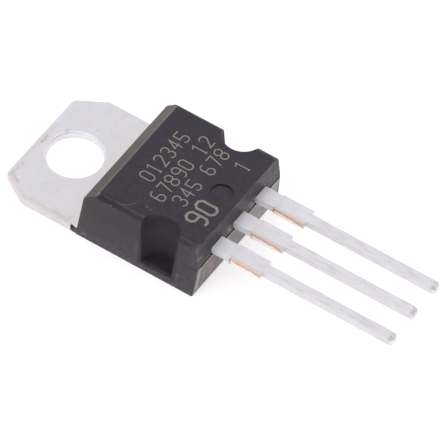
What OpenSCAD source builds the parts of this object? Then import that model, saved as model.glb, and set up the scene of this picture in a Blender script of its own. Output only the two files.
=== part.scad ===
// Three-lead voltage regulator in a flat plastic power package with a screw tab.
// X runs from the tab to the lead tips, Y across the leads and Z up from the tab's back.
// The origin is on the screw hole's axis, in the plane of the tab's back.

/* [Tab] */
// Thickness of the copper strip that the tab, the pad and the leads are stamped from
strip_t = 0.55; // [0.50:0.01:0.60]
// Width of the tab
tab_w = 10.1; // [10.0:0.02:10.2]
// Distance from the hole's centre to the tab's end edge
tab_edge = 2.76; // [2.65:0.01:2.95]
// Diameter of the screw hole
hole_d = 3.8; // [3.75:0.01:3.85]
// Length of the tab's cut corners, measured along the part
corner_len = 2.05; // [1.2:0.05:2.4]
// Width of the tab's cut corners, measured across the part
corner_w = 1.22; // [0.8:0.02:1.5]
// Radius that blunts the tab's corners
corner_r = 0.25; // [0.1:0.05:0.4]
// Width of the tab where it enters the moulding
neck_w = 9.7; // [9.4:0.1:9.8]
// Length of the neck outside the moulding, filled by a tongue of moulding on each side
neck_len = 0.41; // [0.3:0.01:0.8]

/* [Leads] */
// Distance between the leads' centre lines
pitch = 2.54; // [2.49:0.01:2.59]
// Height of the leads' undersides above the tab's back
lead_rise = 2.60; // [2.50:0.01:2.70]
// Width of a lead's thin part
lead_w = 0.74; // [0.61:0.01:0.88]
// Width of a lead where the cut dam bars leave their stubs
stub_w = 1.34; // [1.24:0.02:1.50]
// Width of a lead where it leaves the moulding
root_w = 1.20; // [1.10:0.02:1.24]
// Distance from the hole's centre to the start of the stubs
stub_start = 14.0; // [13.5:0.1:14.5]
// Distance from the hole's centre to the end of the stubs
stub_end = 16.35; // [16.0:0.05:16.5]
// Distance from the hole's centre to the lead tips
lead_end = 26.1; // [25.6:0.1:26.5]
// Radius that blunts the lead tips, seen from above
tip_r = 0.2; // [0.1:0.05:0.28]

/* [Moulding] */
// Width at the foot
body_w = 10.1; // [10.0:0.02:10.2]
// Height above the tab's back
body_h = 4.5; // [4.4:0.02:4.6]
// Distance from the hole's centre to the foot of the wall on the tab's side
body_start = 3.50; // [3.4:0.01:3.8]
// Distance from the hole's centre to the widest line of the leads' end
body_end = 12.68; // [12.6:0.01:12.9]
// Width of the top, before its long edges are rounded
top_w = 9.44; // [9.3:0.02:9.6]
// Radius of the top's long edges
top_edge_r = 0.5; // [0.3:0.05:0.6]
// Length and height of the slope along the top's edge on the tab's side
slope = 0.96; // [0.8:0.02:1.1]
// Diameter of the two side notches at the top
notch_d = 2.8; // [2.6:0.05:2.9]
// Diameter of the side notches at their floor
notch_floor_d = 2.32; // [2.2:0.02:2.5]
// Distance from the hole's centre to the notches' axes
notch_x = 9.67; // [9.5:0.01:9.8]
// Height of the notches' floor above the tab's back
notch_floor_z = 0.58; // [0.5:0.02:0.7]
// Diameter of the ejector pin's round mark on the top
pin_mark_d = 1.56; // [1.4:0.02:1.7]
// Depth of the ejector pin's mark
pin_mark_depth = 0.08; // [0.04:0.02:0.12]

/* [Chip and wires] */
// Length of the chip along the part
die_len = 2.4; // [2.0:0.1:2.6]
// Width of the chip
die_w = 2.1; // [1.8:0.1:2.4]
// Thickness of the chip
die_t = 0.28; // [0.2:0.02:0.36]
// Thickness of the solder under the chip
solder_t = 0.04; // [0.02:0.01:0.08]
// Diameter of the bond wires
wire_d = 0.15; // [0.10:0.01:0.20]

/* [Hidden] */
$fn = 64;
overlap = 0.2;
clearance = 1;

// Colours
tin = [0.80, 0.80, 0.82];
resin = [0.22, 0.22, 0.24];
solder = [0.62, 0.62, 0.64];
silicon = [0.36, 0.38, 0.44];
aluminium = [0.84, 0.84, 0.85];

// Chip pad under the moulding, narrow enough to leave moulding below each notch
pad_w = 6.8;
pad_shoulder = body_start + 0.9;

// Fold that lifts the centre lead from the pad's level to the leads' level, 4 up for 3 along
fold_r = 0.3;
fold_angle = atan2(4, 3);
fold_w = root_w;
fold_end = body_end - 0.75;
fold_straight = (lead_rise - (strip_t + 2 * fold_r) * (1 - cos(fold_angle))) / sin(fold_angle);
fold_start = fold_end - (strip_t + 2 * fold_r) * sin(fold_angle) - fold_straight * cos(fold_angle);

// Posts at the inner ends of the outer leads, each with a hole that the moulding fills
post_start = 10.55;
post_end = 11.95;
post_w = 2.0;
anchor_d = 0.5;
anchor_x = 11.6;

// Draft that lets the moulding leave its tool: the tab's side from the foot to the slope,
// and the leads' end from the parting line down to the foot and up to the top
wall_lean = 0.35;
end_lean_down = 0.18;
end_lean_up = 0.17;
parting_z = lead_rise;
end_edge_r = 0.15;
// Distance from the middle plane to the notches' axes
notch_y = 4.89;
pin_mark_x = 11.2;

// Chip
die_x = 8.0;
die_top = strip_t + solder_t + die_t;
solder_margin = 0.06;

// Wires, each standing on the chip at its start and heading across the part at an angle from +X
wire_fold_r = 0.35;
wire_foot = 0.1;
wire_steep = atan2(4, 3);
wire_rise = lead_rise + strip_t - die_top;
wire_from = [die_x + die_len / 2 - 0.2, -0.75];
wire_heading = -40;
ground_from = [die_x - die_len / 2 + 0.5, 0.6];
ground_heading = 165;
ground_straight = 0.8;

// The two tangent points and the centre of a round of radius r at corner p between a and b
function unit(v) = v / norm(v);
function round_centre(a, p, b, r) =
    let (u = unit(a - p), w = unit(b - p), half = acos(u * w) / 2)
    p + unit(u + w) * r / sin(half);
function round_foot(a, p, b, r) =
    let (u = unit(a - p), w = unit(b - p), half = acos(u * w) / 2)
    p + u * r / tan(half);

// Convex outline through points whose corners are rounded by the radii, 0 for a sharp one
module rounded_outline(points, radii) {
    n = len(points);
    polygon([for (i = [0 : n - 1])
        let (a = points[(i + n - 1) % n], p = points[i], b = points[(i + 1) % n], r = radii[i])
        each r > 0 ? [round_foot(a, p, b, r), round_foot(b, p, a, r)] : [p]]);
    for (i = [0 : n - 1])
        if (radii[i] > 0)
            translate(round_centre(points[(i + n - 1) % n], points[i], points[(i + 1) % n], radii[i]))
                circle(r = radii[i]);
}

// A rectangle from x0 to x1, centred on the X axis
module band(x0, x1, w) {
    translate([x0, -w / 2])
        square([x1 - x0, w]);
}

// The tab and the pad seen from above
module tab_outline() {
    edge_y = tab_w / 2 - corner_w;
    corner_x = corner_len - tab_edge;
    rounded_outline(
        [[-tab_edge, -edge_y], [corner_x, -tab_w / 2], [body_start - neck_len, -tab_w / 2],
         [body_start - neck_len, tab_w / 2], [corner_x, tab_w / 2], [-tab_edge, edge_y]],
        [corner_r, corner_r, 0, 0, corner_r, corner_r]);
    band(0, pad_shoulder, neck_w);
    band(0, fold_start, pad_w);
}

// A lead from x0 to its tip, seen from above
module lead_outline(x0) {
    half = lead_w / 2;
    band(x0, stub_end, root_w);
    band(stub_start, stub_end, stub_w);
    thin_start = stub_end - overlap;
    rounded_outline([[thin_start, -half], [lead_end, -half], [lead_end, half], [thin_start, half]],
                    [0, tip_r, tip_r, 0]);
}

// The folded stretch between the pad and the centre lead
module centre_fold() {
    bend_r = strip_t + fold_r;
    // lower bend, centred above the pad
    translate([fold_start, -fold_w / 2, bend_r])
        rotate([-90, 0, 0])
            rotate([0, 0, 90 - fold_angle])
                rotate_extrude(angle = fold_angle)
                    translate([fold_r, 0])
                        square([strip_t, fold_w]);
    // straight slope
    translate([fold_start + bend_r * sin(fold_angle), -fold_w / 2, bend_r * (1 - cos(fold_angle))])
        rotate([0, -fold_angle, 0])
            cube([fold_straight, fold_w, strip_t]);
    // upper bend, centred below the lead
    translate([fold_end, fold_w / 2, lead_rise - fold_r])
        rotate([90, 0, 0])
            rotate([0, 0, 90])
                rotate_extrude(angle = fold_angle)
                    translate([fold_r, 0])
                        square([strip_t, fold_w]);
}

// Mounting tab, chip pad, fold and centre lead in one strip
module tab_frame() {
    color(tin) {
        difference() {
            linear_extrude(strip_t)
                tab_outline();
            translate([0, 0, -clearance])
                cylinder(d = hole_d, h = strip_t + 2 * clearance);
        }
        centre_fold();
        translate([0, 0, lead_rise])
            linear_extrude(strip_t)
                lead_outline(fold_end);
    }
}

// An outer lead on the side y, with the post that takes the bond wire
module outer_lead(y) {
    color(tin)
        translate([0, y, lead_rise])
            difference() {
                linear_extrude(strip_t) {
                    lead_outline(post_end - overlap);
                    band(post_start, post_end, post_w);
                }
                translate([anchor_x, 0, -clearance])
                    cylinder(d = anchor_d, h = strip_t + 2 * clearance);
            }
}

module lead_input() {
    outer_lead(-pitch);
}

module lead_output() {
    outer_lead(pitch);
}

// Solder under the chip, squeezed out a little on every side
module die_attach() {
    color(solder)
        translate([die_x - die_len / 2 - solder_margin, -die_w / 2 - solder_margin, strip_t])
            cube([die_len + 2 * solder_margin, die_w + 2 * solder_margin, solder_t]);
}

module die() {
    color(silicon)
        translate([die_x - die_len / 2, -die_w / 2, strip_t + solder_t])
            cube([die_len, die_w, die_t]);
}

// A bend of wire in the XZ plane, centred at c, that runs over a sweep from angle a0
module wire_bend(c, a0, sweep) {
    translate([c[0], 0, c[1]])
        rotate([90, 0, 0])
            rotate([0, 0, a0])
                rotate_extrude(angle = sweep)
                    translate([wire_fold_r, 0])
                        circle(d = wire_d);
}

// A wire that stands up from the chip, leans over, runs straight and comes down after a rise
module bond_wire(from, heading, lean, straight, rise) {
    over = wire_fold_r * (1 - sin(lean)) + straight * cos(lean);
    up = wire_foot + straight * sin(lean);
    landing = over + wire_fold_r * (1 + sin(lean));
    color(aluminium)
        translate([from[0], from[1], die_top])
            rotate([0, 0, heading]) {
                cylinder(d = wire_d, h = wire_foot);
                wire_bend([wire_fold_r, wire_foot], 90 + lean, 90 - lean);
                translate([wire_fold_r * (1 - sin(lean)), 0, wire_foot + wire_fold_r * cos(lean)])
                    rotate([0, 90 - lean, 0])
                        cylinder(d = wire_d, h = straight);
                wire_bend([landing - wire_fold_r, up], 0, 90);
                if (lean > 0)
                    wire_bend([landing - wire_fold_r, up], 90, lean);
                translate([landing, 0, rise])
                    cylinder(d = wire_d, h = up - rise);
            }
}

module bond_wire_input() {
    bond_wire(wire_from, wire_heading, wire_steep, wire_rise / sin(wire_steep), wire_rise);
}

module bond_wire_output() {
    mirror([0, 1, 0])
        bond_wire_input();
}

module bond_wire_ground() {
    bond_wire(ground_from, ground_heading, 0, ground_straight, strip_t - die_top);
}

// The moulding's side view, carried right across
module side_view() {
    slope_z = body_h - slope;
    slope_x = body_start + wall_lean;
    translate([0, body_w, 0])
        rotate([90, 0, 0])
            linear_extrude(2 * body_w)
                rounded_outline(
                    [[body_start, 0], [body_end - end_lean_down, 0], [body_end, parting_z],
                     [body_end - end_lean_up, body_h], [slope_x + slope, body_h], [slope_x, slope_z]],
                    [0, 0, 0, end_edge_r, 0, 0]);
}

// The moulding's end view, carried along its length
module end_view() {
    rotate([90, 0, 90])
        linear_extrude(2 * body_end)
            rounded_outline(
                [[-body_w / 2, 0], [body_w / 2, 0], [top_w / 2, body_h], [-top_w / 2, body_h]],
                [0, 0, top_edge_r, top_edge_r]);
}

// Tongues of moulding that fill the neck on each side of the tab
module neck_tongues() {
    tongue_w = (body_w - neck_w) / 2;
    for (side = [-1, 1])
        translate([body_start - neck_len, side * (neck_w + tongue_w) / 2 - tongue_w / 2, 0])
            cube([neck_len + overlap, tongue_w, strip_t]);
}

// Round notches in the long sides, open at the top
module notches() {
    for (side = [-1, 1])
        translate([notch_x, side * notch_y, notch_floor_z])
            cylinder(d1 = notch_floor_d, d2 = notch_d, h = body_h - notch_floor_z);
}

// Epoxy moulding, cast round all the other pieces
module mould_body() {
    color(resin)
        difference() {
            intersection() {
                union() {
                    side_view();
                    neck_tongues();
                }
                end_view();
            }
            notches();
            translate([pin_mark_x, 0, body_h - pin_mark_depth])
                cylinder(d = pin_mark_d, h = pin_mark_depth + clearance);
            tab_frame();
            lead_input();
            lead_output();
            die_attach();
            die();
            bond_wire_input();
            bond_wire_output();
            bond_wire_ground();
        }
}

tab_frame();
lead_input();
lead_output();
die_attach();
die();
bond_wire_input();
bond_wire_output();
bond_wire_ground();
mould_body();
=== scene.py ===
# Finished surfaces of a through-hole voltage regulator in a flat moulded power package.
# The shapes are modelled in millimetres and turned to metres as each piece is finished.
import math

import bmesh
import bpy
from bpy.props import FloatProperty, FloatVectorProperty, PointerProperty, StringProperty
from mathutils import Matrix, Vector


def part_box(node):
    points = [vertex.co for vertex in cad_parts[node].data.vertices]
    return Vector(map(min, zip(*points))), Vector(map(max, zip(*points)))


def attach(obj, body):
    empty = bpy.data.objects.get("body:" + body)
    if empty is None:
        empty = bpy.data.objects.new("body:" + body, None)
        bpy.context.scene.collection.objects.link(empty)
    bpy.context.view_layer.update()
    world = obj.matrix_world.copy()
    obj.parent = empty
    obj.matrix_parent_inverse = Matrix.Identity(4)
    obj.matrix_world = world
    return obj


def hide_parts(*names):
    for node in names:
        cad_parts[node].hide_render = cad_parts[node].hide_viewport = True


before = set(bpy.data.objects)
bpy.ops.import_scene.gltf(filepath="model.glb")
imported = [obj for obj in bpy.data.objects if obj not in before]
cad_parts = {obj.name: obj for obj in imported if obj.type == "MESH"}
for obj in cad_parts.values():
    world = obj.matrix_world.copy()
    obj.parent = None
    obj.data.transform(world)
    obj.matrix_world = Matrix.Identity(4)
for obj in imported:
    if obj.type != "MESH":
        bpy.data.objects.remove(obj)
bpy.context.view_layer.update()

bl_info = {
    "name": "Voltage Regulator Builder",
    "version": (1, 0, 0),
    "blender": (4, 5, 0),
    "location": "View3D > Sidebar > Regulator",
    "description": "Builds the finished surfaces of a through-hole voltage regulator over its CAD frame",
    "category": "Object",
}

MM = 0.001
TOUCH = 1e-4
INNER = ("die_attach", "die", "bond_wire_input", "bond_wire_output", "bond_wire_ground")


def linear(hex_colour):
    """Linear colour of an sRGB hex value."""
    parts = [int(hex_colour[i:i + 2], 16) / 255 for i in (1, 3, 5)]
    return [p / 12.92 if p <= 0.04045 else ((p + 0.055) / 1.055) ** 2.4 for p in parts]


def corners(node):
    """Lowest and highest corner of a CAD node, in millimetres."""
    low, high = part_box(node)
    return low / MM, high / MM


TAB_LOW, TAB_HIGH = corners("tab_frame")
LEAD_LOW, LEAD_HIGH = corners("lead_output")
CASE_LOW, CASE_HIGH = corners("mould_body")


# ---------------------------------------------------------------- the fixed shape, in millimetres

# tab, its neck and the pad
HOLE_R = 1.9
CORNER_X = -0.71
END_Y = 3.83
CORNER_R = 0.42
NECK_X = CASE_LOW.x
NECK_Y = 4.85
CASE_X = CASE_LOW.x + 0.41
PAD_X = CASE_X + 0.9
PAD_Y = 3.4

# leads, the posts inside the case and the fold that lifts the middle lead
ROOT_Y = 0.6
STUB_Y = 0.67
LEAD_Y = 0.37
TIP_R = 0.2
TIP_RUN = 0.42
TIP_ANGLE = math.radians(17)
LOWER_ROUND = 0.03
POST_X = 11.95
POST_Y = 1.0
POST_HOLE_X = 11.6
POST_HOLE_R = 0.25
STUB_X = (14.0, 16.35)
LEAD_PITCH = (LEAD_LOW.y + LEAD_HIGH.y) / 2
FOLD_R = 0.3
FOLD_END = CASE_HIGH.x - 0.75
FOLD_ANGLE = math.atan2(4, 3)
ROLL_FROM = CASE_HIGH.x - 0.3

# case: slope, leaning walls, notches, ejector mark and tongues
SLOPE = 0.96
WALL_LEAN = 0.35
END_LEAN_LOW = 0.18
END_LEAN_HIGH = 0.17
TOP_Y = 4.72
NOTCH_X = 9.67
NOTCH_Y = 4.89
NOTCH_FLOOR = 0.58
NOTCH_R = (1.16, 1.40)
PIN_X = 11.2
PIN_R = 0.78
PIN_DEPTH = 0.12
TAB_THICK = 0.55
TONGUE_HIGH = 0.42
TONGUE_SAG = 0.12
DRAWN_DOWN = 0.03
SLOPE_RUN = 1.01
SLOPE_TOP_X = CASE_X + WALL_LEAN + SLOPE_RUN

# the stage, in metres and radians
FLOOR_GAP = 0.00002
LAMP_TARGET = (0.010, 0, 0.002)
EYE = (0.145264, -0.226358, 0.320755)
EYE_AZIMUTH = math.radians(-59.400)
EYE_ELEVATION = math.radians(50.500)
EYE_ROLL = math.radians(3.775)


# ---------------------------------------------------------------- sizes and colours

def length(name, description, millimetres, precision=5):
    """A property for a length, whose default is given in millimetres."""
    return FloatProperty(name=name, description=description, default=millimetres * MM, unit="LENGTH",
                         precision=precision)


def tint(name, description, hex_colour):
    """A property for a colour, whose default is given as an sRGB hex value."""
    return FloatVectorProperty(name=name, description=description, default=linear(hex_colour),
                               subtype="COLOR", min=0, max=1)


def digits(name, description, default):
    """A property for a row of the marking."""
    return StringProperty(name=name, description=description, default=default)


class REGULATOR_PG_strip(bpy.types.PropertyGroup):
    """The tinned copper strip that the tab and the leads are stamped from."""
    thickness: length("Thickness", "Thickness of the strip", LEAD_HIGH.z - LEAD_LOW.z)
    roll_width: length("Roll width", "Width of the rolled border that the punch leaves round the tab", 0.30)
    roll_depth: length("Roll depth", "Depth of the rolled border at the tab's edge", 0.02)
    hole_round: length("Hole rounding", "Radius of the screw hole's upper rim", 0.10)
    lead_round: length("Lead rounding", "Radius of the leads' upper edges", 0.10)
    tin: tint("Tin", "Colour of the matte tin plate", "#E6E5EB")
    tarnish: tint("Tarnish", "Colour of the thin, stained tin along the edges", "#C3B7B3")
    copper: tint("Copper", "Colour of the copper that shows through where the dam bars were cut", "#D2AE9C")
    smeared_tin: tint(
        "Smeared tin", "Colour of the bright tin that the cut smears down over the copper", "#F8EDE7")


class REGULATOR_PG_case(bpy.types.PropertyGroup):
    """The moulded epoxy case."""
    long_edge_round: length("Long edge rounding", "Radius of the top's two long edges", 0.45)
    upright_round: length("Upright rounding", "Radius of the lead end's upright edges", 0.28)
    corner_round: length("Corner rounding", "Radius of the upright corners", 0.15)
    notch_round: length("Notch rounding", "Radius of the side notches' rims", 0.12)
    line_height: length("Parting line", "Height of the open parting line on the lead end", 0.17)
    slot_width: length("Slot width", "Gap beside each lead, where the mould's finger stood", 0.12)
    grain: length("Grain", "Size of the fine grain that the eroded mould tool leaves", 0.09)
    resin: tint("Resin", "Colour of the filled black epoxy", "#2D2833")
    # the tab side's browner skin is lightened and warmed by a painted reflection
    tab_side_lit_resin: tint("Gate side resin", "Colour of the browner skin on the tab side's slope", "#3F2D2C")
    # the lower face's lighter, browner colour is a painted reflection of the floor
    lower_face_lit_resin: tint(
        "Drawn resin", "Colour of the lead end's lower face, rubbed as it left the mould", "#7F7273")
    # the rubbed edges' colour, which also serves as their painted highlight
    worn_and_highlit: tint("Worn edge", "Colour of the rubbed edges", "#8E8888")


class REGULATOR_PG_marking(bpy.types.PropertyGroup):
    """The laser marking on the top: plain digits that count up."""
    row_tab: digits("Row by the tab", "Digits of the first row", "012345")
    row_middle: digits("Middle row", "Digits of the second row", "67890 12")
    row_leads: digits("Row by the leads", "Digits of the third row", "345 678")
    large: digits("Large number", "Digits of the large number", "90")
    single: digits("Single digit", "Digit that stands alone", "1")
    height: length("Height", "Height of the digits", 1.02)
    large_height: length("Large height", "Height of the large number", 1.45)
    stroke: length("Stroke", "Width of the laser's line", 0.085)
    foam: length("Foam", "Height that the burnt resin foams up", 0.004, 6)
    burnt: tint("Burnt resin", "Colour of the resin that the laser has foamed up", "#928A82")


class REGULATOR_PG_stage(bpy.types.PropertyGroup):
    """Floor, light and camera."""
    lens: FloatProperty(
        name="Lens", description="Focal length for a sensor 36 mm wide, in millimetres", default=522.28)
    floor: tint("Floor", "Colour of the floor", "#F4F4F4")
    surround: FloatProperty(
        name="Surround", description="Strength of the even light from all round", default=0.78, min=0, max=1)
    ceiling: FloatProperty(
        name="Ceiling", description="Brightness overhead that glossy surfaces mirror", default=0.90,
        min=0, max=1)


# ---------------------------------------------------------------- modelling helpers

def mirrored(half):
    """A closed outline from its half on the +Y side."""
    return half + [(x, -y) for x, y in reversed(half)]


def plate(outline, level, thickness, rounds):
    """A flat plate; rounds gives the plan radius of the corners at an X place."""
    bm = bmesh.new()
    bm.faces.new([bm.verts.new((x, y, level)) for x, y in outline])
    for place, radius in rounds.items():
        for corner in [v for v in bm.verts if abs(v.co.x - place) < 1e-5]:
            ends = [edge.other_vert(corner).co - corner.co for edge in corner.link_edges]
            reach = radius / math.tan(ends[0].angle(ends[1]) / 2)
            bmesh.ops.bevel(bm, geom=[corner], offset=reach, affect="VERTICES",
                            segments=6, profile=0.5, material=-1)
    lift(bm, bm.faces[:], (0, 0, thickness))
    bmesh.ops.recalc_face_normals(bm, faces=bm.faces[:])
    return bm


def region(faces):
    """Faces with their edges and corners."""
    return list({*faces, *(e for f in faces for e in f.edges), *(v for f in faces for v in f.verts)})


def only(kind, geom):
    """The elements of one kind."""
    return [g for g in geom if isinstance(g, kind)]


def lift(bm, faces, move):
    """Extrudes faces by a move and returns the faces at its end."""
    made = bmesh.ops.extrude_face_region(bm, geom=region(faces))["geom"]
    bmesh.ops.translate(bm, vec=Vector(move), verts=only(bmesh.types.BMVert, made))
    return only(bmesh.types.BMFace, made)


def turn(bm, faces, centre, axis, angle, steps):
    """Carries faces round an axis as a bend and returns the faces at its end."""
    made = bmesh.ops.spin(bm, geom=region(faces), cent=centre, axis=axis, angle=angle,
                          steps=steps, use_duplicate=False)["geom_last"]
    return only(bmesh.types.BMFace, made)


def split(bm, point, normal):
    """Cuts every face along a plane and keeps both sides."""
    bmesh.ops.bisect_plane(bm, geom=bm.verts[:] + bm.edges[:] + bm.faces[:], dist=1e-5,
                           plane_co=point, plane_no=normal)


def trim(bm, point, normal):
    """Cuts off what stands on the plane's outer side and closes the cut."""
    made = bmesh.ops.bisect_plane(bm, geom=bm.verts[:] + bm.edges[:] + bm.faces[:], dist=1e-5,
                                  plane_co=point, plane_no=normal, clear_outer=True)["geom_cut"]
    bmesh.ops.holes_fill(bm, edges=only(bmesh.types.BMEdge, made), sides=0)


def middle(edge):
    """Middle point of an edge."""
    return (edge.verts[0].co + edge.verts[1].co) / 2


def round_edges(bm, edges, offset, segments):
    """Rounds edges with an arc."""
    bmesh.ops.bevel(bm, geom=edges, offset=offset, offset_type="OFFSET", affect="EDGES",
                    segments=segments, profile=0.5, material=-1, clamp_overlap=True)


def box(low, high):
    """A closed box between two corners."""
    bm = bmesh.new()
    low, high = Vector(low), Vector(high)
    place = Matrix.Translation((low + high) / 2) @ Matrix.Diagonal((*(high - low), 1))
    bmesh.ops.create_cube(bm, size=1, matrix=place)
    return bm


def cone(x, y, low, high, r_low, r_high, sides=96):
    """A closed upright cone or cylinder between two heights."""
    bm = bmesh.new()
    bmesh.ops.create_cone(bm, cap_ends=True, cap_tris=False, segments=sides, radius1=r_low,
                          radius2=r_high, depth=high - low,
                          matrix=Matrix.Translation((x, y, (low + high) / 2)))
    return bm


def mesh_of(name, bm):
    """A mesh from a bmesh, which is freed."""
    mesh = bpy.data.meshes.new(name)
    bm.to_mesh(mesh)
    bm.free()
    return mesh


def modified(bm, tools, steps):
    """The bmesh after a list of modifiers, each a kind and its settings; tools are other bmeshes they use."""
    scene = bpy.context.scene
    made = []
    for shape in [bm] + tools:
        made.append(bpy.data.objects.new("scratch", mesh_of("scratch", shape)))
        scene.collection.objects.link(made[-1])
    for kind, settings in steps:
        modifier = made[0].modifiers.new(kind, kind)
        for name, value in settings.items():
            setattr(modifier, name, made[value + 1] if name == "object" else value)
    result = made[0].evaluated_get(bpy.context.evaluated_depsgraph_get()).to_mesh()
    shaped = bmesh.new()
    shaped.from_mesh(result)
    for obj in made:
        mesh = obj.data
        bpy.data.objects.remove(obj)
        bpy.data.meshes.remove(mesh)
    bmesh.ops.remove_doubles(shaped, verts=shaped.verts[:], dist=2 * TOUCH)
    bmesh.ops.dissolve_degenerate(shaped, edges=shaped.edges[:], dist=2 * TOUCH)
    return shaped


def combined(bm, tools, operation):
    """The bmesh with the tools cut out of it or joined to it."""
    steps = [("BOOLEAN", {"object": i, "operation": operation, "solver": "EXACT"}) for i in range(len(tools))]
    return modified(bm, tools, steps)


def copy_of(source, highest):
    """A closed copy, in millimetres, of an object's mesh. Its faces that look down from under the highest
    level are drawn lower, to cut clear of the case's underside or to reach into the copy it stands on."""
    bm = bmesh.new()
    bm.from_mesh(source.data)
    bmesh.ops.scale(bm, vec=Vector((1 / MM, 1 / MM, 1 / MM)), verts=bm.verts[:])
    bmesh.ops.remove_doubles(bm, verts=bm.verts[:], dist=TOUCH)
    bm.normal_update()
    down = {v for f in bm.faces if f.normal.z < -0.999 and f.calc_center_median().z < highest
            for v in f.verts}
    bmesh.ops.translate(bm, vec=Vector((0, 0, -DRAWN_DOWN)), verts=list(down))
    return bm


def finish_piece(name, bm, materials, nodes=()):
    """Makes a bmesh in millimetres a piece in metres that rides on the root body."""
    bmesh.ops.scale(bm, vec=Vector((MM, MM, MM)), verts=bm.verts[:])
    mesh = mesh_of(name, bm)
    for face in mesh.polygons:
        face.use_smooth = True
    mesh.set_sharp_from_angle(angle=math.radians(32))
    for material in materials:
        mesh.materials.append(material)
    piece = bpy.data.objects.new(name, mesh)
    bpy.context.scene.collection.objects.link(piece)
    weighted = piece.modifiers.new("Even normals", "WEIGHTED_NORMAL")
    weighted.keep_sharp = True
    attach(piece, "root")
    if nodes:
        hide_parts(*nodes)
    return piece


# ---------------------------------------------------------------- materials

def add(tree, kind, inputs=(), out=0, **settings):
    """Adds a shader node and gives its settings. Its inputs, in the node's own order or by name, are filled
    or linked. Returns the output asked for, or all of them."""
    made = tree.nodes.new("ShaderNode" + kind)
    for name, value in settings.items():
        setattr(made, name, value)
    for socket, value in inputs.items() if isinstance(inputs, dict) else enumerate(inputs):
        if isinstance(value, bpy.types.NodeSocket):
            tree.links.new(value, made.inputs[socket])
        else:
            made.inputs[socket].default_value = value
    return made.outputs if out == "all" or not made.outputs else made.outputs[out]


def new_material(name):
    """An empty material, its tree, and object coordinates in millimetres."""
    material = bpy.data.materials.new(name)
    material.use_nodes = True
    tree = material.node_tree
    tree.nodes.clear()
    place = add(tree, "TexCoord", out="Object")
    return material, tree, add(tree, "VectorMath", {0: place, "Scale": 1 / MM}, operation="SCALE")


def combine(operation, *masks):
    """One mask from several by a maths operation, in the first one's tree. A mask is a socket, a number, or a
    value with the range it runs over and the range it gives, which is 0 to 1 where it is left out."""
    tree = (masks[0][0] if isinstance(masks[0], tuple) else masks[0]).id_data
    masks = [add(tree, "MapRange", mask) if isinstance(mask, tuple) else mask for mask in masks]
    made = masks[0]
    for mask in masks[1:]:
        made = add(tree, "Math", [made, mask], operation=operation)
    return made


def product(*masks):
    """Mask where several masks meet."""
    return combine("MULTIPLY", *masks)


def band(value, low, high, blur):
    """Mask that is 1 where a value lies between two limits, with soft sides."""
    return product((value, low - blur, low + blur), (value, high + blur, high - blur))


def spot(mm, centre, reach):
    """Mask that is 1 at a place and falls to 0 at its reach along each axis, in millimetres."""
    tree = mm.id_data
    place = add(tree, "Mapping", {
        "Vector": mm, "Scale": [1 / r for r in reach], "Location": [-c / r for c, r in zip(centre, reach)]})
    return add(tree, "MapRange", [add(tree, "VectorMath", [place], "Value", operation="LENGTH"), 1.0, 0.4])


def spots(mm, places):
    """Mask of several spots, each a place and its reach."""
    return combine("MAXIMUM", *[spot(mm, centre, reach) for centre, reach in places])


def painted(tree, base, layers):
    """A base colour with layers over it, each a mask and a linear colour or an sRGB hex value."""
    for mask, colour in layers:
        colour = linear(colour) if isinstance(colour, str) else colour
        base = add(tree, "Mix", {"Factor": mask, "A": base, "B": (*colour, 1)}, 2, data_type="RGBA")
    return base


def shaded(material, inputs):
    """The material with a principled surface on its output."""
    tree = material.node_tree
    add(tree, "OutputMaterial", {"Surface": add(tree, "BsdfPrincipled", inputs)})
    return material


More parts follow.
